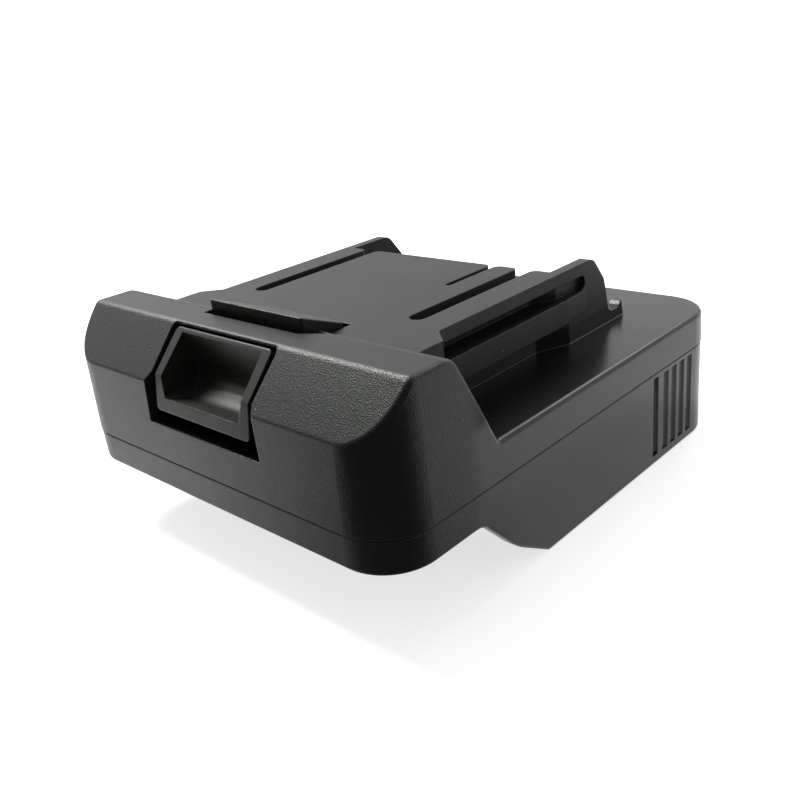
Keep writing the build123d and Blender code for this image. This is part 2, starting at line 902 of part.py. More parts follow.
def button():
    """Release button with its finger hollow."""
    fold_y = crease_y + button_fold_run
    back_y = scoop_deep_y + button_wall
    face_y = front_y + inset_at(button_foot_z) + button_recess
    top_z = slope_z(button_top_y, button_slope_recess)
    under_bridge_z = bridge_foot_z - bridge_gap
    points = [
        (face_y, button_foot_z),
        (fold_y, slope_z(fold_y, button_slope_recess)),
        (button_top_y, top_z),
        (button_top_y, block_top_z - bridge_nose - bridge_gap),
        (window_front_y - bridge_gap, under_bridge_z),
        (window_front_y, under_bridge_z),
        (window_front_y, carriage_foot_z),
        (back_y, carriage_foot_z),
        (back_y, button_foot_z),
    ]
    half = [(button_half_width, button_foot_z), (button_half_width, top_z)]
    corners = [(button_half_width, z, button_corner_radius) for z in (button_foot_z, top_z)]
    return (along_x(side_profile(points), button_half_width) & front_prism(half, corners)) - scoop()


def tongue():
    """Wedge that stands out of the window and holds the tool, with its rear corners cut."""
    points = [
        (tongue_front_y, carriage_foot_z),
        (tongue_front_y, tongue_top_z),
        (tongue_rear_y, tongue_rear_z),
        (tongue_rear_y, carriage_foot_z),
    ]
    half = tongue_half_width
    right = [
        (half, tongue_front_y),
        (half, tongue_rear_y - tongue_corner_cut),
        (half - tongue_corner_cut, tongue_rear_y),
    ]
    left = [(-x, y) for x, y in reversed(right)]
    solid = along_x(side_profile(points), half) & plan(right + left, carriage_foot_z, tongue_top_z)
    edges = [edge for edge in solid.edges() if (edge @ 0.5).Z > carriage_top_z]
    return fillet(edges, tongue_edge_radius)


def release_latch():
    """Release button, carriage and tongue, as one moulding."""
    half = window_half_width + carriage_overlap
    carriage = block(-half, half, block_rear_y, tongue_rear_y, carriage_foot_z, carriage_top_z)
    neck_half = pocket_waist_half_width - carriage_side_gap
    arm_y = scoop_deep_y + button_wall
    arm_top_z = carriage_foot_z + carriage_thickness / 2
    arm = block(-neck_half, neck_half, arm_y, block_rear_y, carriage_foot_z, arm_top_z)
    solid = button() + arm + carriage + tongue()
    pin_radius = spring_radius - spring_wire / 2 - spring_post_gap
    for side in (-1, 1):
        x = side * spring_offset
        solid = solid + disc(x, spring_y, carriage_foot_z - spring_pin_drop, carriage_top_z, pin_radius)
    return solid


def biarc(start, start_way, end, end_way):
    """Two arcs that join two points and keep the directions given there."""
    reach = end - start
    ways = start_way + end_way
    spread = 2 * (1 - start_way.dot(end_way))
    along = reach.dot(ways)
    arm = (math.sqrt(along**2 + spread * reach.dot(reach)) - along) / spread
    first_pole = start + start_way * arm
    last_pole = end - end_way * arm
    middle = (first_pole + last_pole) * 0.5
    middle_way = (last_pole - first_pole).normalized()
    first = TangentArc(start, middle, tangent=start_way)
    return [first, TangentArc(middle, end, tangent=middle_way)]


def latch_spring(side):
    """Return spring of the latch: one unbroken tube wound on quarter turns."""
    foot_z = spring_seat_z + seat_gap + spring_wire / 2
    top_z = carriage_foot_z - seat_gap - spring_wire / 2
    pitch = (top_z - foot_z) / spring_turns
    steps = spring_turns * 4
    rise_way = pitch / (2 * math.pi * spring_radius)

    def place(step):
        angle = step * math.pi / 2
        x = spring_radius * math.cos(angle)
        y = spring_radius * math.sin(angle)
        return Vector(side * spring_offset + x, spring_y + y, foot_z + pitch * step / 4)

    def way(step):
        angle = step * math.pi / 2
        return Vector(-math.sin(angle), math.cos(angle), rise_way).normalized()

    arcs = []
    for step in range(steps):
        arcs = arcs + biarc(place(step), way(step), place(step + 1), way(step + 1))
    path = Wire(arcs)
    section = Plane(place(0), z_dir=way(0)) * Circle(spring_wire / 2)
    turn_gap = pitch * math.cos(math.atan(rise_way)) - spring_wire
    print(f"latch spring: least gap between turns {turn_gap:.2f} mm")
    return sweep(section, path=path)


def clip(x, front, rear, leaf, gap, height):
    """Contact clip: a web with two sprung leaves that spread at the mouth, and two pins."""
    web = block(x - gap / 2 - leaf, x + gap / 2 + leaf, front, rear, contact_z, contact_z + leaf)
    mouth = rear - clip_mouth_run
    inner = gap / 2
    points = [
        (inner, front),
        (inner, mouth),
        (inner + clip_mouth_spread, rear),
        (inner + clip_mouth_spread + leaf, rear),
        (inner + leaf, mouth),
        (inner + leaf, front),
    ]
    leaf_solid = both_sides(plan(points, contact_z, contact_z + height))
    middle_z = contact_z + height / 2 + leaf / 2
    slit_front = max(rear - clip_slit_length, front + clip_mouth_run)
    reach = inner + clip_mouth_spread + leaf + overrun
    slit_foot_z = middle_z - clip_slit / 2
    slit = block(-reach, reach, slit_front, rear + overrun, slit_foot_z, slit_foot_z + clip_slit)
    solid = web + Pos(x, 0, 0) * (leaf_solid - slit)
    for y in clip_pins(front, rear):
        solid = solid + pin(x, y, 0)
    return solid


def clip_pins(front, rear):
    """Stations of the pins under a contact clip."""
    return (front + pin_inset, rear - pin_inset) if rear - front > 3 * pin_inset else ((front + rear) / 2,)


def pin(x, y, gap):
    """Pin of a contact clip, or with a gap the hole that it passes through."""
    half_x = pin_thickness / 2 + gap
    half_y = pin_width / 2 + gap
    return block(x - half_x, x + half_x, y - half_y, y + half_y, board_z - pin_reach, contact_z + gap / 2)


def clip_list():
    """Name, place, length, leaf, gap and height of each contact clip."""
    signal_front = clip_rear_y - signal_clip_length
    main = (clip_front_y, clip_rear_y, clip_leaf, clip_gap, clip_height)
    signal = (signal_front, clip_rear_y, signal_clip_leaf, signal_clip_gap, signal_clip_height)
    return {
        "tool_contact_positive": (-main_slot_offset, *main),
        "tool_contact_negative": (main_slot_offset, *main),
        "tool_contact_signal": (signal_slot_offset, *signal),
    }


def contact_carrier():
    """Moulded carrier that holds the contact clips on the board."""
    half = carrier_half_width
    base = block(-half, half, carrier_front_y, carrier_rear_y, board_top_z, contact_z)
    top_z = board_top_z + carrier_rise
    wall_y = carrier_front_y + carrier_wall
    solid = base + block(-half, half, carrier_front_y, wall_y, board_top_z, top_z)
    for x, front, rear, leaf, gap, height in clip_list().values():
        inner = gap / 2 + clip_mouth_spread + leaf + carrier_side_gap
        for side in (-1, 1):
            x0, x1 = sorted((x + side * inner, x + side * (inner + carrier_wall)))
            if max(abs(x0), abs(x1)) < half:
                solid = solid + block(x0, x1, wall_y - seat_gap, rear, board_top_z, top_z)
    for x, front, rear, *_ in clip_list().values():
        for y in clip_pins(front, rear):
            solid = solid - pin(x, y, pin_gap)
    return solid


def circuit_board():
    """Board with its screw holes and the holes for the contact pins."""
    half = board_half_width
    solid = block(-half, half, board_front_y, board_rear_y, board_z, board_top_z)
    solid = fillet(solid.edges().filter_by(Axis.Z), board_corner_radius)
    hole_radius = board_screw_radius + screw_hole_gap
    for x, y in board_screw_places():
        solid = solid - disc(x, y, board_z - overrun, board_top_z + overrun, hole_radius)
    for x, front, rear, *_ in clip_list().values():
        for y in clip_pins(front, rear):
            solid = solid - pin(x, y, pin_gap)
    return solid


def screw(x, y, head_z, way, radius, length, head_radius, head_height):
    """Pan-head screw with a hexagonal drive; way is 1 where its head is below its tip."""
    head = Cylinder(head_radius, head_height, align=(Align.CENTER, Align.CENTER, Align.MAX))
    rim = head.edges().group_by(Axis.Z)[0]
    head = fillet(rim, head_height / 3)
    shank = Cylinder(radius, length, align=(Align.CENTER, Align.CENTER, Align.MIN))
    drive = extrude(RegularPolygon(screw_drive_radius, 6), amount=head_height * drive_share)
    drive = Pos(0, 0, -head_height) * drive
    solid = head + shank - drive
    turn = Rot(0, 0, 0) if way > 0 else Rot(180, 0, 0)
    return Pos(x, y, head_z) * turn * solid


def case_screws():
    """The four screws that hold the case together."""
    sizes = (screw_radius, screw_length, screw_head_radius, screw_head_height)
    return Compound([screw(x, y, screw_seat_z, 1, *sizes) for x, y in screw_places()])


def board_screws():
    """The two screws that hold the board on its posts."""
    sizes = (board_screw_radius, board_screw_length, board_screw_head_radius, board_screw_head_height)
    return Compound([screw(x, y, board_top_z, -1, *sizes) for x, y in board_screw_places()])


def blade_block_screws():
    """The two screws that hold the terminal block under the plate."""
    sizes = (block_screw_radius, block_screw_length, block_screw_head_radius, block_screw_head_height)
    return Compound([screw(x, y, block_screw_seat_z(), 1, *sizes) for x, y in block_screw_places()])


def power_transistors():
    """Two flat power transistors under the board, each with a tab and two leads."""
    solids = []
    y = board_front_y + transistor_row
    for side in (-1, 1):
        x = side * transistor_offset
        body = centred_block(x, y, transistor_size, board_z - transistor_size[2])
        tab_y = y - (transistor_size[1] + transistor_tab[1]) / 2
        body = body + centred_block(x, tab_y, transistor_tab, board_z - transistor_tab[2])
        lead_y = y + (transistor_size[1] + transistor_lead[1]) / 2
        for lead_side in (-1, 1):
            lead_x = x + lead_side * transistor_lead_spacing / 2
            body = body + centred_block(lead_x, lead_y, transistor_lead, board_z - transistor_lead[2])
        solids.append(body)
    return Compound(solids)


def controller_chip():
    """Small control chip under the board, with a row of leads on each side."""
    y = board_front_y + chip_row
    solid = centred_block(0, y, chip_size, board_z - chip_size[2])
    for side in (-1, 1):
        lead_y = y + side * (chip_size[1] + chip_lead[1]) / 2
        for index in range(chip_leads_a_side):
            lead_x = (index - (chip_leads_a_side - 1) / 2) * chip_lead_spacing
            solid = solid + centred_block(lead_x, lead_y, chip_lead, board_z - chip_lead[2])
    return solid


def capacitor():
    """Smoothing capacitor on its square base, hanging under the board."""
    y = board_front_y + capacitor_row
    base_size = (capacitor_base, capacitor_base, capacitor_base_height)
    base = centred_block(0, y, base_size, board_z - capacitor_base_height)
    return base + disc(0, y, board_z - capacitor_height, board_z - capacitor_base_height, capacitor_radius)


def chip_resistors():
    """Row of small resistors under the board."""
    y = board_front_y + resistor_row
    offset = (resistor_count - 1) / 2
    places = [(index - offset) * resistor_spacing for index in range(resistor_count)]
    return Compound([centred_block(x, y, resistor_size, board_z - resistor_size[2]) for x in places])


def blade(x, reach, gap):
    """Blade for the battery with its upright tail, or with a gap the hole for it."""
    half = blade_thickness / 2 + gap
    nose_y = block_front_face_y - reach
    z0 = blade_top_z - blade_height - gap
    solid = block(x - half, x + half, nose_y, tail_rear_y + gap, z0, blade_top_z + gap)
    if not gap:
        nose = solid.edges().filter_by(Axis.Z).group_by(Axis.Y)[0]
        solid = chamfer(nose, blade_nose)
    root_z = blade_top_z - seat_gap
    tail = block(x - half, x + half, tail_front_y - gap, tail_rear_y + gap, root_z, tail_top_z)
    return solid + tail


def blade_list():
    """Place and reach of each battery blade."""
    return {
        "battery_blade_positive": (-blade_offset, blade_reach),
        "battery_blade_negative": (blade_offset, blade_reach),
        "battery_blade_signal": (signal_blade_offset, signal_blade_reach),
    }


def blade_block():
    """Terminal block that holds the blades and closes the window in the plate."""
    top_z = underside_z - seat_gap
    half = block_half_width
    solid = block(-half, half, block_front_face_y, block_rear_face_y, underside_z - block_height, top_z)
    foot = solid.edges().group_by(Axis.Z)[0] + solid.edges().filter_by(Axis.Z)
    solid = fillet(foot, block_edge_radius)
    neck_front = block_front_face_y + neck_inset
    neck_rear = block_rear_face_y - neck_inset
    neck_top = floor_z + neck_rise
    neck_x = neck_half_width
    solid = solid + block(-neck_x, neck_x, neck_front, neck_rear, top_z - seat_gap, neck_top)
    for x, reach in blade_list().values():
        solid = solid - blade(x, reach, blade_gap)
    foot_z = underside_z - block_height - overrun
    for x, y in block_screw_places():
        solid = solid - disc(x, y, foot_z, block_screw_seat_z(), block_screw_head_radius + screw_hole_gap)
        solid = solid - disc(x, y, foot_z, top_z + overrun, block_screw_radius + screw_hole_gap)
    return solid


def lead(x, end_x, radius):
    """Lead from a blade's tail, along the plate and up to the board's underside."""
    start_y = tail_front_y - seat_gap
    reach = start_y - lead_end_y
    first_y, second_y = (start_y - reach * share for share in itertools.accumulate(lead_run_shares))
    points = [
        (x, start_y, lead_z),
        (x, first_y, lead_z),
        (end_x, second_y, lead_z),
        (end_x, lead_end_y, lead_z),
        (end_x, lead_end_y, board_z - seat_gap),
    ]
    half_turn = math.atan2(abs(end_x - x), first_y - second_y) / 2
    runs = (start_y - first_y, second_y - lead_end_y)
    radii = [lead_arc_share * run / math.tan(half_turn) for run in runs]
    path = FilletPolyline(*points, radius=[*radii, lead_bend_radius])
    section = Plane(points[0], z_dir=(0, -1, 0)) * Circle(radius)
    solid = sweep(section, path=path)
    share = solid.volume / (math.pi * radius**2 * path.length)
    print(f"lead at {x:.1f} mm: volume is {share:.3f} of section times length {path.length:.1f} mm")
    return solid


def build_parts():
    """Every sub-part of the adapter under its name."""
    signal_end_x = signal_blade_offset + signal_lead_side_step
    parts = {
        "upper_shell": upper_shell(),
        "lower_shell": bored_lower_shell(),
        "release_latch": release_latch(),
        "latch_spring_left": latch_spring(-1),
        "latch_spring_right": latch_spring(1),
        "circuit_board": circuit_board(),
        "contact_carrier": contact_carrier(),
        "power_transistors": power_transistors(),
        "controller_chip": controller_chip(),
        "capacitor": capacitor(),
        "chip_resistors": chip_resistors(),
        "blade_block": blade_block(),
        "positive_lead": lead(-blade_offset, -lead_end_x, lead_radius),
        "negative_lead": lead(blade_offset, lead_end_x, lead_radius),
        "signal_lead": lead(signal_blade_offset, signal_end_x, signal_lead_radius),
        "case_screws": case_screws(),
        "board_screws": board_screws(),
        "blade_block_screws": blade_block_screws(),
    }
    for name, values in clip_list().items():
        parts[name] = clip(*values)
    for name, (x, reach) in blade_list().items():
        parts[name] = blade(x, reach, 0)
    return parts


os.makedirs("parts", exist_ok=True)
for name, solid in build_parts().items():
    export_step(solid, f"parts/{name}.step")
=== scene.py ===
import json
import math

import bmesh
import bpy
from mathutils import Matrix, Vector


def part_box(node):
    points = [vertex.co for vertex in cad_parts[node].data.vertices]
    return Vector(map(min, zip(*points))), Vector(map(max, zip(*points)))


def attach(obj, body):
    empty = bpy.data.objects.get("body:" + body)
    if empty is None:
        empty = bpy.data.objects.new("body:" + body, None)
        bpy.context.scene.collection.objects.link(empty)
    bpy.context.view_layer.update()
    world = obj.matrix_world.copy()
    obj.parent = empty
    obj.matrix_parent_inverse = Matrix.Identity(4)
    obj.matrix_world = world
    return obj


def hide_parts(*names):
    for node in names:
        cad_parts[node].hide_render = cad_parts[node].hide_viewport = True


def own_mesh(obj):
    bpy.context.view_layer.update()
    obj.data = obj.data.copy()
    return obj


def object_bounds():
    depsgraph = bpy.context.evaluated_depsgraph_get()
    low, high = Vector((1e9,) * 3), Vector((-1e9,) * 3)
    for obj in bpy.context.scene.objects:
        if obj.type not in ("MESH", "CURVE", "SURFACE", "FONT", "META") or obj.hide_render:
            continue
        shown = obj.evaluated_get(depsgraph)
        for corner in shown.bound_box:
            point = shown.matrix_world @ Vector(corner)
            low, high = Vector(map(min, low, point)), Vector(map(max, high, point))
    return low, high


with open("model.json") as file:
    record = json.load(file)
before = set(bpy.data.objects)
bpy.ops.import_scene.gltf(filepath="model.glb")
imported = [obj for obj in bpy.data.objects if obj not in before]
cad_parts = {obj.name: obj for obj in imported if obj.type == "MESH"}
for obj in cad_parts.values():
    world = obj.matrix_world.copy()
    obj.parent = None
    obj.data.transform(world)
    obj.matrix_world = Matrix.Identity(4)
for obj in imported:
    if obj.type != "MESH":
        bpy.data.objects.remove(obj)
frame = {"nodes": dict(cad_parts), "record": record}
nodes = frame["nodes"]
cad_low, cad_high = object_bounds()

# Units and the camera's place in the photograph
mm = 0.001
camera_lens = 39.68
camera_azimuth = 45.24
camera_elevation = 23.18
camera_roll = -6.44
camera_distance = 226.82 * mm
camera_target = Vector((-43.52, 39.68, -12.20)) * mm

# Stations on the case
deck_z = 23.4 * mm
block_rear_y = -29.8 * mm

# Latch springs
spring_wire = 0.6 * mm
spring_turns = 6
dead_turns = 0.8
dead_turn_pitch = 1.04 * spring_wire
steps_per_turn = 32
wire_sides = 12

# Light of the studio
floor_glow = 0.7
ambient_level = 0.35
# Painted shade on the floor, seen only in reflections: where it starts and ends toward the front
# right and the far front, and its least amount
floor_painted_shade_from = 23 * mm
floor_painted_shade_to = 68 * mm
far_floor_painted_shade_from = -90 * mm
far_floor_painted_shade_to = -190 * mm
least_painted_shade = 0.16
floor_reach = 3.0
floor_gap = 0.02 * mm


# Building blocks of the finishes


def join(tree, value, socket):
    """Links an output to a socket, or sets the socket's own value."""
    if isinstance(value, bpy.types.NodeSocket):
        tree.links.new(value, socket)
    else:
        socket.default_value = value


def add(tree, kind, inputs=None, **settings):
    """Adds a shader node, sets its options and fills its inputs."""
    made = tree.nodes.new("ShaderNode" + kind)
    for key, value in settings.items():
        setattr(made, key, value)
    for key, value in (inputs or {}).items():
        join(tree, value, made.inputs[key])
    return made


def calc(tree, operation, *values):
    """One step of arithmetic on values that change over the surface."""
    made = tree.nodes.new("ShaderNodeMath")
    made.operation = operation
    for value, socket in zip(values, made.inputs):
        join(tree, value, socket)
    return made.outputs[0]


def remap(tree, value, low, high, to_low=0.0, to_high=1.0):
    """Smooth step of a value from one range to another."""
    made = tree.nodes.new("ShaderNodeMapRange")
    made.interpolation_type = "SMOOTHSTEP"
    for number, source in enumerate((value, low, high, to_low, to_high)):
        join(tree, source, made.inputs[number])
    return made.outputs[0]


def blend(tree, share, first, second):
    """Colour between two colours."""
    made = tree.nodes.new("ShaderNodeMix")
    made.data_type = "RGBA"
    join(tree, share, made.inputs[0])
    join(tree, first, made.inputs[6])
    join(tree, second, made.inputs[7])
    return made.outputs[2]


def position(tree):
    """Place on the object, in metres, as x, y and z."""
    place = add(tree, "TexCoord").outputs["Object"]
    return place, add(tree, "SeparateXYZ", {"Vector": place}).outputs


def facing(tree):
    """Way the surface faces, as x, y and z."""
    normal = add(tree, "NewGeometry").outputs["Normal"]
    return add(tree, "SeparateXYZ", {"Vector": normal}).outputs


def new_group(name, inputs, outputs):
    """Shader node group with named inputs and outputs, and its two end nodes' sockets."""
    tree = bpy.data.node_groups.new(name, "ShaderNodeTree")
    for label, value in inputs.items():
        socket = tree.interface.new_socket(label, in_out="INPUT", socket_type="NodeSocketFloat")
        socket.default_value = value
    for label, kind in outputs.items():
        tree.interface.new_socket(label, in_out="OUTPUT", socket_type="NodeSocket" + kind)
    return tree, tree.nodes.new("NodeGroupInput").outputs, tree.nodes.new("NodeGroupOutput").inputs


# Effects that several finishes share


def make_rounded_edges():
    """Softly broken edges, and a mask of where they are."""
    tree, given, result = new_group(
        "rounded_edges", {"Radius": 0.25 * mm}, {"Normal": "Vector", "Edge": "Float"}
    )
    flat, turned = 0.995, 0.85
    bevel = add(tree, "Bevel", {"Radius": given["Radius"]}, samples=6)
    plain = add(tree, "NewGeometry").outputs["Normal"]
    dot = add(tree, "VectorMath", {0: bevel.outputs[0], 1: plain}, operation="DOT_PRODUCT")
    join(tree, bevel.outputs[0], result["Normal"])
    join(tree, remap(tree, dot.outputs["Value"], flat, turned), result["Edge"])
    return tree


def make_moulded_grain():
    """Fine spark-eroded grain of a mould, as a height and as a speckle."""
    tree, given, result = new_group(
        "moulded_grain",
        {"Cell": 0.3 * mm, "Coarse": 0.5},
        {"Height": "Float", "Speckle": "Float"},
    )
    cell_share, pit_scale = 0.6, 0.9
    place, _ = position(tree)
    scale = calc(tree, "DIVIDE", 1.0, given["Cell"])
    cells = add(tree, "TexVoronoi", {"Vector": place, "Scale": scale, "Randomness": 1.0})
    finer = calc(tree, "MULTIPLY", scale, pit_scale)
    pits = add(tree, "TexNoise", {"Vector": place, "Scale": finer, "Detail": 2.0})
    coarse = calc(tree, "MULTIPLY", pits.outputs["Fac"], given["Coarse"])
    domes = calc(tree, "MULTIPLY", cells.outputs["Distance"], cell_share)
    join(tree, calc(tree, "ADD", domes, coarse), result["Height"])
    join(tree, add(tree, "SeparateXYZ", {0: cells.outputs["Color"]}).outputs[0], result["Speckle"])
    return tree


def make_handling_marks():
    """Cloudy smudges from handling, as a value around 1."""
    tree, given, result = new_group(
        "handling_marks", {"Size": 18 * mm, "Strength": 0.2}, {"Factor": "Float"}
    )
    place, _ = position(tree)
    scale = calc(tree, "DIVIDE", 1.0, given["Size"])
    clouds = add(
        tree, "TexNoise", {"Vector": place, "Scale": scale, "Detail": 4.0, "Roughness": 0.6}
    )
    off = calc(tree, "SUBTRACT", clouds.outputs["Fac"], 0.5)
    swing = calc(tree, "MULTIPLY", calc(tree, "MULTIPLY", off, given["Strength"]), 2.0)
    join(tree, calc(tree, "ADD", swing, 1.0), result["Factor"])
    return tree


def make_fine_scratches():
    """Sparse hairline scratches that run in two directions."""
    tree, given, result = new_group(
        "fine_scratches", {"Length": 9 * mm, "Amount": 0.4}, {"Mask": "Float"}
    )
    thinness = 14.0
    line_edge, line_heart = 0.006, 0.001
    bare_patch, scratched_patch = 0.52, 0.66
    place, _ = position(tree)
    found = []
    for turn in ((0.3, 0.2, 0.5), (-0.5, 0.4, -0.9)):
        stretch = {"Vector": place, "Rotation": turn, "Scale": (1.0, thinness, thinness)}
        turned = add(tree, "Mapping", stretch)
        scale = calc(tree, "DIVIDE", 1.0, given["Length"])
        lines = add(tree, "TexNoise", {"Vector": turned.outputs[0], "Scale": scale, "Detail": 1.0})
        off = calc(tree, "ABSOLUTE", calc(tree, "SUBTRACT", lines.outputs["Fac"], 0.5))
        found.append(remap(tree, off, line_edge, line_heart))
    wider = calc(tree, "DIVIDE", 0.5, given["Length"])
    where = add(tree, "TexNoise", {"Vector": place, "Scale": wider})
    patches = remap(tree, where.outputs["Fac"], bare_patch, scratched_patch)
    both = calc(tree, "MULTIPLY", calc(tree, "MAXIMUM", *found), patches)
    join(tree, calc(tree, "MULTIPLY", both, given["Amount"]), result["Mask"])
    return tree


def make_dust_specks():
    """Scattered pale specks of dust."""
    tree, given, result = new_group(
        "dust_specks", {"Spacing": 2.5 * mm, "Share": 0.25}, {"Mask": "Float"}
    )
    largest_speck = 0.05
    place, _ = position(tree)
    scale = calc(tree, "DIVIDE", 1.0, given["Spacing"])
    cells = add(tree, "TexVoronoi", {"Vector": place, "Scale": scale, "Randomness": 1.0})
    chance = add(tree, "SeparateXYZ", {0: cells.outputs["Color"]}).outputs
    kept = calc(tree, "LESS_THAN", chance[0], given["Share"])
    size = calc(tree, "MULTIPLY", chance[1], largest_speck)
    spot = calc(tree, "LESS_THAN", cells.outputs["Distance"], size)
    join(tree, calc(tree, "MULTIPLY", kept, spot), result["Mask"])
    return tree


class Finish:
    """A node material, put together from the shared effects."""

    effects = {}

    def __init__(self, name, **constants):
        self.material = bpy.data.materials.new(name)
        self.material.use_nodes = True
        self.tree = self.material.node_tree
        self.shader = self.tree.nodes["Principled BSDF"]
        for key, value in constants.items():
            self.shader.inputs[key.replace("_", " ")].default_value = value
        self.place, self.at = position(self.tree)

    def effect(self, name, **inputs):
        """Places a shared effect with its own values."""
        made = self.tree.nodes.new("ShaderNodeGroup")
        made.node_tree = self.effects[name]
        for key, value in inputs.items():
            join(self.tree, value, made.inputs[key])
        return made.outputs

    def noise(self, size, detail=3.0):
        """Noise with features of a given size."""
        inputs = {"Vector": self.place, "Scale": 1.0 / size, "Detail": detail}
        return add(self.tree, "TexNoise", inputs).outputs["Fac"]

    def calc(self, operation, *values):
        """One step of arithmetic in this material."""
        return calc(self.tree, operation, *values)

    def remap(self, *values):
        """Smooth step in this material."""
        return remap(self.tree, *values)

    def blend(self, share, first, second):
        """Colour between two colours in this material."""
        return blend(self.tree, share, first, second)

    def set(self, **sockets):
        """Feeds the shader."""
        for key, value in sockets.items():
            join(self.tree, value, self.shader.inputs[key.replace("_", " ")])

    def relief(self, height, depth, normal):
        """Normal of a height map, laid over another normal."""
        inputs = {"Strength": 1.0, "Distance": depth, "Height": height, "Normal": normal}
        return add(self.tree, "Bump", inputs).outputs[0]


def grey(level, tint=(1.0, 1.0, 1.0)):
    """Colour of a neutral level with a slight tint."""
    return (level * tint[0], level * tint[1], level * tint[2], 1.0)


# Finishes of the case and the latch

polish_tint = grey(1.0, (0.96, 1.0, 0.93))
polish_level = 0.43
dust_grey = grey(0.3)


def case_plastic():
    """Black moulded case: clear satin on the deck, duller above it, finely grained in front."""
    deck_dullness, raised_dullness, grain_dullness = 0.24, 0.46, 0.35
    side_face_dullness, edge_polish, speckle_swing = 0.15, -0.1, 0.11
    satin_share, least_grain, edge_wear = 0.12, 0.1, 0.35
    relief_depth = 0.055 * mm
    made = Finish(
        "case_plastic", IOR=1.5, Specular_IOR_Level=polish_level, Specular_Tint=polish_tint
    )
    edges = made.effect("rounded_edges", Radius=0.3 * mm)
    grain = made.effect("moulded_grain", Cell=0.17 * mm, Coarse=0.6)
    satin = made.effect("moulded_grain", Cell=0.16 * mm, Coarse=0.5)
    marks = made.effect("handling_marks", Size=16 * mm, Strength=0.16)
    scratches = made.effect("fine_scratches", Length=8 * mm, Amount=0.5)
    dust = made.effect("dust_specks", Spacing=2.6 * mm, Share=0.3)

    sideways, _, up = facing(made.tree)
    on_block = made.remap(made.at[1], block_rear_y + 5 * mm, block_rear_y)
    not_top = made.remap(up, 0.985, 0.93)
    grained = made.calc("MULTIPLY", on_block, not_top)
    raised = made.remap(made.at[2], deck_z + 2 * mm, deck_z + 5 * mm)
    upright = made.remap(made.calc("ABSOLUTE", sideways), 0.8, 0.95)
    side_face = made.calc("MULTIPLY", raised, upright)

    grain_share = made.remap(grained, 0.0, 1.0, least_grain, 1.0)
    grain_height = made.calc("MULTIPLY", grain["Height"], grain_share)
    satin_height = made.calc("MULTIPLY", satin["Height"], satin_share)
    height = made.calc("ADD", grain_height, satin_height)

    smooth = made.remap(raised, 0.0, 1.0, deck_dullness, raised_dullness)
    smooth = made.calc("ADD", smooth, made.calc("MULTIPLY", side_face, side_face_dullness))
    swing = made.calc("MULTIPLY", made.calc("SUBTRACT", grain["Speckle"], 0.5), speckle_swing)
    rough = made.remap(grained, 0.0, 1.0, smooth, made.calc("ADD", swing, grain_dullness))
    rough = made.calc("MULTIPLY", rough, marks["Factor"])
    rough = made.calc("ADD", rough, made.calc("MULTIPLY", edges["Edge"], edge_polish))

    rubbed = made.calc("MULTIPLY", edges["Edge"], edge_wear)
    worn = made.calc("MAXIMUM", rubbed, scratches["Mask"])
    colour = made.blend(worn, grey(0.007, (0.9, 1.1, 1.0)), grey(0.04))
    colour = made.blend(dust["Mask"], colour, dust_grey)
    normal = made.relief(height, relief_depth, edges["Normal"])
    made.set(Base_Color=colour, Roughness=rough, Normal=normal)
    return made.material


def latch_plastic():
    """Black button and tongue, smoother than the case and duller on top, with rubbed edges."""
    side_dullness, top_dullness = 0.33, 0.46
    grain_share, edge_wear = 0.25, 0.4
    made = Finish(
        "latch_plastic", IOR=1.5, Specular_IOR_Level=polish_level, Specular_Tint=polish_tint
    )
    edges = made.effect("rounded_edges", Radius=0.26 * mm)
    grain = made.effect("moulded_grain", Cell=0.22 * mm, Coarse=0.6)
    marks = made.effect("handling_marks", Size=7 * mm, Strength=0.3)
    scratches = made.effect("fine_scratches", Length=5 * mm, Amount=0.6)
    dust = made.effect("dust_specks", Spacing=2.6 * mm, Share=0.22)
    smooth = made.remap(facing(made.tree)[2], 0.8, 0.95, side_dullness, top_dullness)
    rough = made.calc("MULTIPLY", smooth, marks["Factor"])
    rubbed = made.calc("MULTIPLY", edges["Edge"], edge_wear)
    worn = made.calc("MAXIMUM", rubbed, scratches["Mask"])
    colour = made.blend(worn, grey(0.009, (1.1, 1.04, 0.9)), grey(0.045))
    colour = made.blend(dust["Mask"], colour, dust_grey)
    height = made.calc("MULTIPLY", grain["Height"], grain_share)
    normal = made.relief(height, 0.05 * mm, edges["Normal"])
    made.set(Base_Color=colour, Roughness=rough, Normal=normal)
    return made.material


# Finishes inside and underneath


def carrier_plastic():
    """Dark grey carrier under the slots, with the flow marks of a filled plastic."""
    made = Finish("carrier_plastic", IOR=1.52)
    edges = made.effect("rounded_edges", Radius=0.12 * mm)
    grain = made.effect("moulded_grain", Cell=0.25 * mm, Coarse=0.4)
    flow = made.noise(5 * mm, 4.0)
    colour = made.blend(made.remap(flow, 0.35, 0.7), grey(0.018), grey(0.03))
    rough = made.remap(flow, 0.3, 0.7, 0.42, 0.56)
    normal = made.relief(made.calc("MULTIPLY", grain["Height"], 0.3), 0.05 * mm, edges["Normal"])
    made.set(Base_Color=colour, Roughness=rough, Normal=normal)
    return made.material


def terminal_plastic():
    """Blade block of glass-filled plastic, dark grey with pale fibres at the skin."""
    made = Finish("terminal_plastic", IOR=1.54)
    edges = made.effect("rounded_edges", Radius=0.18 * mm)
    grain = made.effect("moulded_grain", Cell=0.3 * mm, Coarse=0.5)
    fibres = made.effect("fine_scratches", Length=2.2 * mm, Amount=0.8)
    colour = made.blend(fibres["Mask"], grey(0.035), grey(0.075))
    marks = made.effect("handling_marks", Size=6 * mm, Strength=0.25)
    rough = made.calc("MULTIPLY", 0.5, marks["Factor"])
    normal = made.relief(made.calc("MULTIPLY", grain["Height"], 0.35), 0.05 * mm, edges["Normal"])
    made.set(Base_Color=colour, Roughness=rough, Normal=normal)
    return made.material


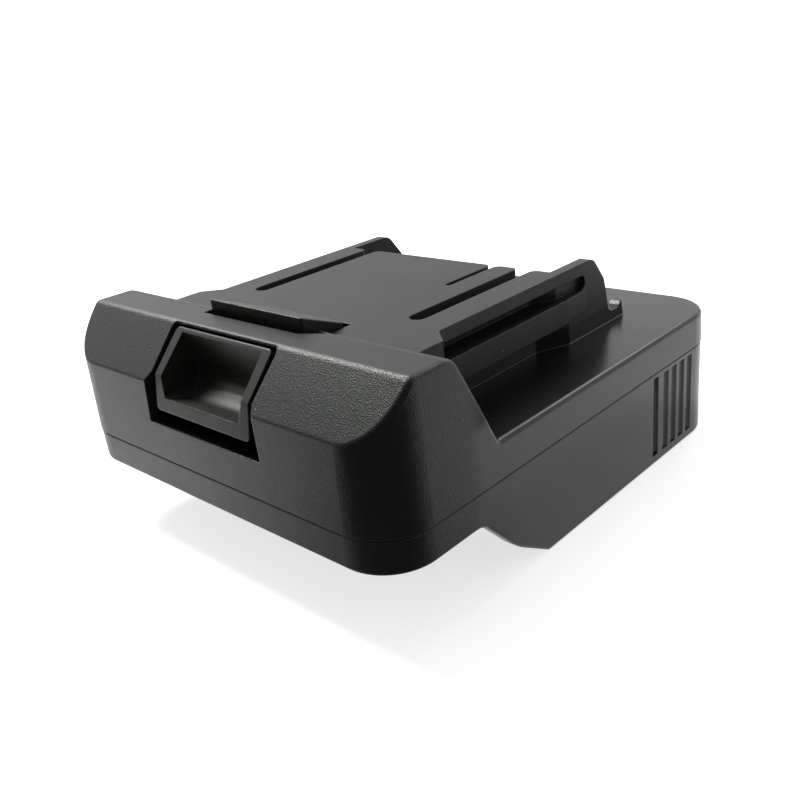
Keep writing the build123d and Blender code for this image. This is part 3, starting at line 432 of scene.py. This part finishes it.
def drawn_metal(name, colour, stain, rough, stain_share):
    """Bare metal with drawing lines, stains and rounded edges."""
    made = Finish(name, Metallic=1.0)
    edges = made.effect("rounded_edges", Radius=0.1 * mm)
    lines = made.effect("fine_scratches", Length=4 * mm, Amount=1.0)
    marks = made.effect("handling_marks", Size=3 * mm, Strength=0.35)
    stained = made.calc("MULTIPLY", made.remap(made.noise(2.5 * mm, 5.0), 0.5, 0.75), stain_share)
    base = made.blend(stained, colour, stain)
    base = made.blend(made.calc("MULTIPLY", edges["Edge"], 0.5), base, grey(0.8))
    level = made.calc("MULTIPLY", rough, marks["Factor"])
    level = made.calc("ADD", level, made.calc("MULTIPLY", lines["Mask"], 0.15))
    normal = made.relief(lines["Mask"], 0.01 * mm, edges["Normal"])
    made.set(Base_Color=base, Roughness=level, Normal=normal)
    return made.material


def spring_steel():
    """Bright drawn spring wire."""
    return drawn_metal("spring_steel", grey(0.55), grey(0.25, (1.0, 0.85, 0.65)), 0.26, 0.4)


def contact_brass():
    """Stamped brass of the contacts and blades, slightly tarnished."""
    return drawn_metal("contact_brass", (0.78, 0.6, 0.28, 1), (0.38, 0.24, 0.11, 1), 0.24, 0.6)


def screw_steel():
    """Zinc-plated screws with a faint yellow cast."""
    return drawn_metal("screw_steel", (0.6, 0.6, 0.57, 1), (0.42, 0.38, 0.3, 1), 0.3, 0.5)


def board_laminate():
    """Green solder mask over copper tracks, with bare tinned spots."""
    made = Finish("board_laminate", IOR=1.5)
    tree = made.tree
    edges = made.effect("rounded_edges", Radius=0.08 * mm)
    grid = add(tree, "Mapping", {"Vector": made.place, "Rotation": (0, 0, 0.785)}).outputs[0]
    waves = add(
        tree,
        "TexWave",
        {"Vector": grid, "Scale": 1 / (11 * mm), "Distortion": 0.0},
        bands_direction="X",
    )
    tracks = made.remap(waves.outputs["Fac"], 0.45, 0.55)
    islands = made.remap(made.noise(9 * mm, 0.0), 0.48, 0.52)
    copper = made.calc("MULTIPLY", tracks, islands)
    holes = add(
        tree, "TexVoronoi", {"Vector": made.place, "Scale": 1 / (3.4 * mm), "Randomness": 0.6}
    )
    tinned = made.calc("LESS_THAN", holes.outputs["Distance"], 0.12)
    colour = made.blend(copper, (0.006, 0.055, 0.022, 1), (0.012, 0.11, 0.04, 1))
    colour = made.blend(tinned, colour, grey(0.62))
    rough = made.calc("ADD", made.calc("MULTIPLY", copper, -0.08), 0.38)
    height = made.calc("ADD", copper, tinned)
    normal = made.relief(height, 0.04 * mm, edges["Normal"])
    made.set(Base_Color=colour, Roughness=rough, Metallic=tinned, Normal=normal)
    return made.material


def component_epoxy():
    """Black moulded body of the transistors and the chip, with tinned leads below."""
    made = Finish("component_epoxy", IOR=1.55)
    edges = made.effect("rounded_edges", Radius=0.08 * mm)
    grain = made.effect("moulded_grain", Cell=0.12 * mm, Coarse=0.8)
    cast = made.noise(1.5 * mm, 3.0)
    colour = made.blend(cast, grey(0.016), grey(0.028))
    rough = made.remap(cast, 0.3, 0.7, 0.48, 0.62)
    normal = made.relief(made.calc("MULTIPLY", grain["Height"], 0.3), 0.04 * mm, edges["Normal"])
    made.set(Base_Color=colour, Roughness=rough, Normal=normal)
    return made.material


def capacitor_can():
    """Aluminium can in a dark sleeve, bare on its end."""
    made = Finish("capacitor_can", IOR=1.5)
    edges = made.effect("rounded_edges", Radius=0.15 * mm)
    bare = made.remap(made.calc("ABSOLUTE", facing(made.tree)[2]), 0.8, 0.9)
    streaks = made.effect("fine_scratches", Length=2 * mm, Amount=0.7)
    sleeve = made.blend(made.noise(3 * mm), (0.008, 0.012, 0.03, 1), (0.014, 0.02, 0.045, 1))
    colour = made.blend(bare, sleeve, grey(0.7))
    rough = made.remap(bare, 0.0, 1.0, 0.3, 0.36)
    rough = made.calc("ADD", rough, made.calc("MULTIPLY", streaks["Mask"], 0.2))
    made.set(Base_Color=colour, Roughness=rough, Metallic=bare, Normal=edges["Normal"])
    return made.material


def resistor_ceramic():
    """Chip resistors: dark glaze on top, white ceramic at the sides."""
    made = Finish("resistor_ceramic", IOR=1.6)
    edges = made.effect("rounded_edges", Radius=0.06 * mm)
    glaze = made.remap(made.calc("ABSOLUTE", facing(made.tree)[2]), 0.7, 0.8)
    grain = made.noise(0.15 * mm, 2.0)
    colour = made.blend(glaze, grey(0.55), grey(0.02))
    rough = made.remap(grain, 0.3, 0.7, 0.3, 0.45)
    normal = made.relief(grain, 0.01 * mm, edges["Normal"])
    made.set(Base_Color=colour, Roughness=rough, Normal=normal)
    return made.material


def insulation(name, colour, dull):
    """Soft wire insulation with a slight orange peel and dirt."""
    made = Finish(name, IOR=1.5)
    peel = made.noise(0.5 * mm, 2.0)
    marks = made.effect("handling_marks", Size=4 * mm, Strength=0.25)
    dirt = made.remap(made.noise(3 * mm, 4.0), 0.5, 0.75)
    base = made.blend(dirt, colour, dull)
    rough = made.calc("MULTIPLY", 0.38, marks["Factor"])
    edges = made.effect("rounded_edges", Radius=0.1 * mm)
    normal = made.relief(peel, 0.02 * mm, edges["Normal"])
    made.set(Base_Color=base, Roughness=rough, Normal=normal)
    return made.material


def red_insulation():
    return insulation("red_insulation", (0.5, 0.02, 0.015, 1), (0.3, 0.02, 0.015, 1))


def black_insulation():
    return insulation("black_insulation", grey(0.02), grey(0.04))


def white_insulation():
    return insulation("white_insulation", (0.72, 0.71, 0.68, 1), (0.5, 0.48, 0.43, 1))


def dress():
    """Gives each node the finish that its place in the record names."""
    Finish.effects = {
        "rounded_edges": make_rounded_edges(),
        "moulded_grain": make_moulded_grain(),
        "handling_marks": make_handling_marks(),
        "fine_scratches": make_fine_scratches(),
        "dust_specks": make_dust_specks(),
    }
    makers = (
        case_plastic,
        latch_plastic,
        carrier_plastic,
        terminal_plastic,
        spring_steel,
        contact_brass,
        board_laminate,
        component_epoxy,
        capacitor_can,
        resistor_ceramic,
        red_insulation,
        black_insulation,
        white_insulation,
        screw_steel,
    )
    finishes = {make.__name__: make() for make in makers}
    for part in frame["record"]["subparts"]:
        mesh = nodes[part["node"]].data
        mesh.materials.clear()
        mesh.materials.append(finishes[part["material_slot"]])
    return finishes


# Latch springs


def coil_rise(turn, height):
    """How far the wire's centre has risen after so many turns, which lie closer at both ends."""
    dead_rise = dead_turns * dead_turn_pitch
    live_share = (turn - dead_turns) / (spring_turns - 2 * dead_turns)
    if turn < dead_turns:
        return turn / dead_turns * dead_rise
    if live_share > 1:
        return height - (spring_turns - turn) / dead_turns * dead_rise
    return dead_rise + live_share * (height - 2 * dead_rise)


def coil_mesh(name, middle, radius, height):
    """Round wire with cut ends, wound about an upright axis from its lowest centre upward."""
    work = bmesh.new()
    rings = []
    for step in range(spring_turns * steps_per_turn + 1):
        turn = step / steps_per_turn
        outward = Vector((math.cos(turn * math.tau), math.sin(turn * math.tau), 0))
        centre = middle + outward * radius + Vector((0, 0, coil_rise(turn, height)))
        ring = []
        for side in range(wire_sides):
            angle = side / wire_sides * math.tau
            offset = outward * math.cos(angle) + Vector((0, 0, math.sin(angle)))
            ring.append(work.verts.new(centre + offset * spring_wire / 2))
        rings.append(ring)
    for ring, following in zip(rings, rings[1:]):
        for side in range(wire_sides):
            after = (side + 1) % wire_sides
            work.faces.new((ring[side], ring[after], following[after], following[side]))
    work.faces.new(rings[0][::-1])
    work.faces.new(rings[-1])
    bmesh.ops.recalc_face_normals(work, faces=work.faces)
    for face in work.faces:
        face.smooth = len(face.verts) == 4
    mesh = bpy.data.meshes.new(name)
    work.to_mesh(mesh)
    work.free()
    return mesh


def make_springs(finish):
    """Two coils in place of the fixed ones, sized to their boxes and hung on the case."""
    for side in ("left", "right"):
        low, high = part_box("latch_spring_" + side)
        radius = (high.x - low.x - spring_wire) / 2
        height = high.z - low.z - spring_wire
        middle = Vector(((low.x + high.x) / 2, (low.y + high.y) / 2, low.z + spring_wire / 2))
        name = "return_coil_" + side
        coil = bpy.data.objects.new(name, coil_mesh(name, middle, radius, height))
        bpy.context.scene.collection.objects.link(coil)
        coil.data.materials.append(finish)
        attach(coil, "case")
        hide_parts("latch_spring_" + side)
        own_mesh(coil)


# Camera, floor and light


def make_camera():
    """Camera at the photograph's viewing angle."""
    azimuth = math.radians(camera_azimuth)
    elevation = math.radians(camera_elevation)
    roll = math.radians(camera_roll)
    back = Vector(
        (
            math.sin(azimuth) * math.cos(elevation),
            -math.cos(azimuth) * math.cos(elevation),
            math.sin(elevation),
        )
    )
    level = (-back).cross(Vector((0, 0, 1))).normalized()
    upright = level.cross(-back)
    right = level * math.cos(roll) + upright * math.sin(roll)
    up = upright * math.cos(roll) - level * math.sin(roll)
    data = bpy.data.cameras.new("photo_camera")
    data.lens = camera_lens
    data.clip_start = 1 * mm
    camera = bpy.data.objects.new("photo_camera", data)
    turn = Matrix((right, up, back)).transposed().to_4x4()
    camera.matrix_world = Matrix.Translation(camera_target + back * camera_distance) @ turn
    bpy.context.scene.collection.objects.link(camera)
    bpy.context.scene.camera = camera


def seen_or_mirrored(tree):
    """Masks of all rays that show the background, and of the mirrored ones alone."""
    path = add(tree, "LightPath").outputs
    seen = calc(tree, "MAXIMUM", path["Is Camera Ray"], path["Is Glossy Ray"])
    return calc(tree, "MAXIMUM", seen, path["Is Transmission Ray"]), path["Is Glossy Ray"]


def toward_dim_side(tree, at, low, high):
    """0 on the bright side of the room and 1 on its dim side, to the front right."""
    across = calc(tree, "MULTIPLY", at[0], 0.6)
    along = calc(tree, "MULTIPLY", at[1], -0.8)
    return remap(tree, calc(tree, "ADD", across, along), low, high)


def plane(name, corners, material):
    """Flat stage sheet on four corners."""
    mesh = bpy.data.meshes.new(name)
    mesh.from_pydata(corners, [], [(0, 1, 2, 3)])
    sheet = bpy.data.objects.new(name, mesh)
    bpy.context.scene.collection.objects.link(sheet)
    mesh.materials.append(material)


def make_floor():
    """Pale floor that shows white around the object and keeps its shadow; mirrored rays see it
    darkened toward the front right and the far front, as painted shade.
    """
    material = bpy.data.materials.new("pale_floor")
    material.use_nodes = True
    tree = material.node_tree
    shader = tree.nodes["Principled BSDF"]
    shader.inputs["Roughness"].default_value = 0.9
    shader.inputs["Specular IOR Level"].default_value = 0.0
    place, at = position(tree)
    seen, mirrored = seen_or_mirrored(tree)
    # Painted shade: to mirrored rays the floor's colour turns toward dark grey and its glow fades
    # toward the front right and the far front
    far = remap(tree, at[1], far_floor_painted_shade_from, far_floor_painted_shade_to)
    side = toward_dim_side(tree, at, floor_painted_shade_from, floor_painted_shade_to)
    dim = calc(tree, "MAXIMUM", calc(tree, "MAXIMUM", side, far), least_painted_shade)
    dim = calc(tree, "MULTIPLY", mirrored, dim)
    mottle = add(tree, "TexNoise", {"Vector": place, "Scale": 6.0, "Detail": 3.0}).outputs["Fac"]
    pale = blend(tree, mottle, grey(0.84), grey(0.88))
    join(tree, blend(tree, dim, pale, grey(0.03)), shader.inputs["Base Color"])
    glow = calc(tree, "MULTIPLY", seen, floor_glow)
    glow = calc(tree, "MULTIPLY", glow, calc(tree, "SUBTRACT", 1.0, dim))
    join(tree, blend(tree, glow, grey(0.0), grey(1.0)), shader.inputs["Emission Color"])
    shader.inputs["Emission Strength"].default_value = 1.0
    below = add(tree, "NewGeometry").outputs["Backfacing"]
    clear = add(tree, "BsdfTransparent").outputs[0]
    sheet = add(tree, "MixShader", {0: below, 1: shader.outputs[0], 2: clear}).outputs[0]
    join(tree, sheet, tree.nodes["Material Output"].inputs["Surface"])
    low = cad_low.z - floor_gap
    ways = ((-1, -1), (1, -1), (1, 1), (-1, 1))
    plane("floor", [(x * floor_reach, y * floor_reach, low) for x, y in ways], material)


def area_lamp(name, place, size, power):
    """Soft lamp that faces the object."""
    data = bpy.data.lights.new(name, "AREA")
    data.shape = "RECTANGLE"
    data.size, data.size_y = size
    data.energy = power
    lamp = bpy.data.objects.new(name, data)
    lamp.location = place
    lamp.rotation_mode = "QUATERNION"
    lamp.rotation_quaternion = (-Vector(place)).to_track_quat("-Z", "Y")
    bpy.context.scene.collection.objects.link(lamp)


def make_world():
    """White surroundings, dimmer as light on the object than as its background."""
    world = bpy.data.worlds.new("studio")
    world.use_nodes = True
    tree = world.node_tree
    background = tree.nodes["Background"]
    seen, mirrored = seen_or_mirrored(tree)
    way = add(tree, "SeparateXYZ", {0: add(tree, "TexCoord").outputs["Generated"]}).outputs
    front = remap(tree, way[1], -0.1, -0.4)
    low_front = calc(tree, "MULTIPLY", front, remap(tree, way[2], 0.36, 0.08))
    dim = calc(tree, "MAXIMUM", toward_dim_side(tree, way, -0.1, 0.6), low_front)
    dim = calc(tree, "MULTIPLY", mirrored, dim)
    level = blend(tree, seen, grey(ambient_level), grey(1.0))
    join(tree, blend(tree, dim, level, grey(0.1)), background.inputs["Color"])
    background.inputs["Strength"].default_value = 1.0
    bpy.context.scene.world = world


def studio():
    """Pale floor, white surroundings and soft lamps."""
    bpy.context.scene.view_settings.view_transform = "Standard"
    make_floor()
    make_world()
    area_lamp("key_lamp", (-0.23, -0.02, 0.33), (0.15, 0.15), 1.7)
    area_lamp("rear_lamp", (0.0, 0.30, 0.28), (0.14, 0.14), 0.22)


make_camera()
finishes = dress()
make_springs(finishes["spring_steel"])
studio()
